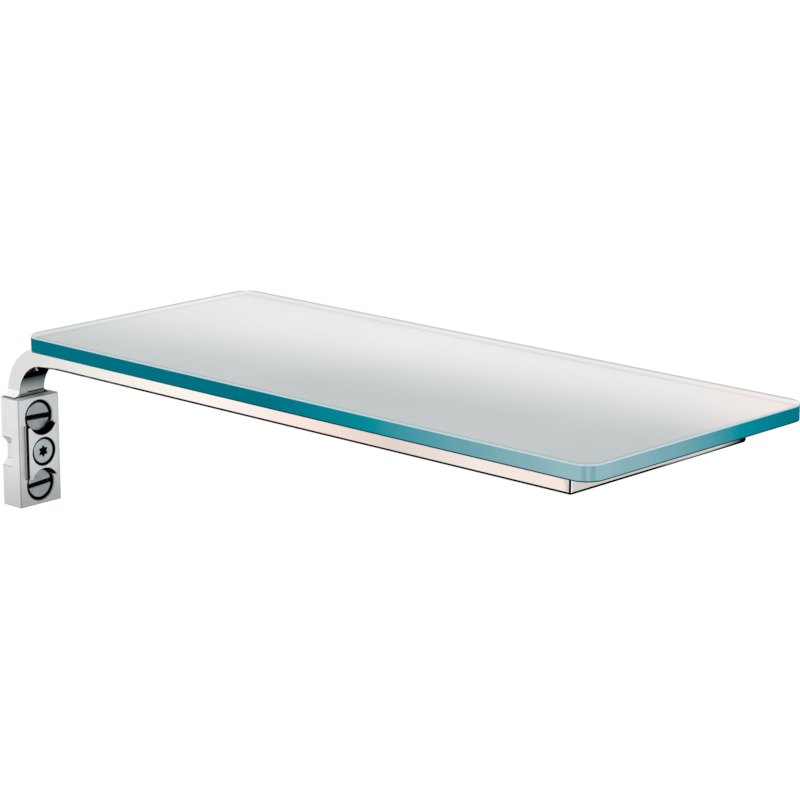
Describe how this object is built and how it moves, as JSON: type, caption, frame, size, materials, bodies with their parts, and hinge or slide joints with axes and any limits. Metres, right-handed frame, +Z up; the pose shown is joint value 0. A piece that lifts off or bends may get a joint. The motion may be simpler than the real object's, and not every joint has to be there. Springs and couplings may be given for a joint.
{
  "type": "wall shelf with bracket",
  "caption": "Cantilevered glass wall shelf on a bent chromed bar and flat-bar frame, held by one wall mounting block with slotted nuts, a locking jaw and a clamp screw.",
  "frame": {"origin": "centre of the mounting block's flat back face, which meets the wall", "axes": "+X out of the wall along the long side of the glass, +Y along the wall away from the bracket, +Z up"},
  "size_m": [0.3635, 0.1502, 0.0858],
  "materials": {
    "shelf_glass": "satin top, polished teal edge with a pale arris",
    "chrome": "mirror polished",
    "block_nickel": "satin nickel",
    "jaw_nickel": "satin nickel",
    "screw_steel": "turned steel",
    "pin_steel": "ground steel",
    "strip_rubber": "black",
    "pad_film": "clear bonding film"
  },
  "bodies": {
    "bracket": {"mounting_block": "block_nickel", "jaw_guide_pin_1": "pin_steel", "jaw_guide_pin_2": "pin_steel", "foot_dowel_1": "pin_steel", "foot_dowel_2": "pin_steel", "bracket_arm": "chrome", "end_rail": "chrome", "back_rail": "chrome", "inner_rail": "chrome", "mitre_dowel_1": "pin_steel", "mitre_dowel_2": "pin_steel", "rail_dowel_1": "pin_steel", "rail_dowel_2": "pin_steel", "glass_pad_1": "pad_film", "glass_pad_2": "pad_film", "glass_pad_3": "pad_film", "glass_pad_4": "pad_film", "glass_pad_5": "pad_film", "glass_pad_6": "pad_film", "glass_shelf": "shelf_glass"},
    "jaw": {"locking_jaw": "jaw_nickel", "jaw_strip_front": "strip_rubber", "jaw_strip_back": "strip_rubber"},
    "clamp_screw": {"clamp_screw": "screw_steel"},
    "wall_nut_upper": {"wall_nut_upper": "screw_steel"},
    "wall_nut_lower": {"wall_nut_lower": "screw_steel"}
  },
  "joints": [
    {"name": "wall_nut_upper_turn", "type": "hinge", "parent": "bracket", "child": "wall_nut_upper", "pos_m": [0.0095, 0, 0.01665], "axis": [1, 0, 0], "continuous": true},
    {"name": "wall_nut_lower_turn", "type": "hinge", "parent": "bracket", "child": "wall_nut_lower", "pos_m": [0.0095, 0, -0.01665], "axis": [1, 0, 0], "continuous": true},
    {"name": "jaw_slide", "type": "slide", "parent": "bracket", "child": "jaw", "axis": [1, 0, 0], "range_m": [0, 0.0015]},
    {"name": "clamp_screw_turn", "type": "hinge", "parent": "jaw", "child": "clamp_screw", "pos_m": [0.014, 0, 0], "axis": [1, 0, 0], "range_deg": [0, 540]}
  ],
  "couplings": [
    {"joint": "clamp_screw_turn", "follows": "jaw_slide", "rad_per_m": 6283.2}
  ]
}
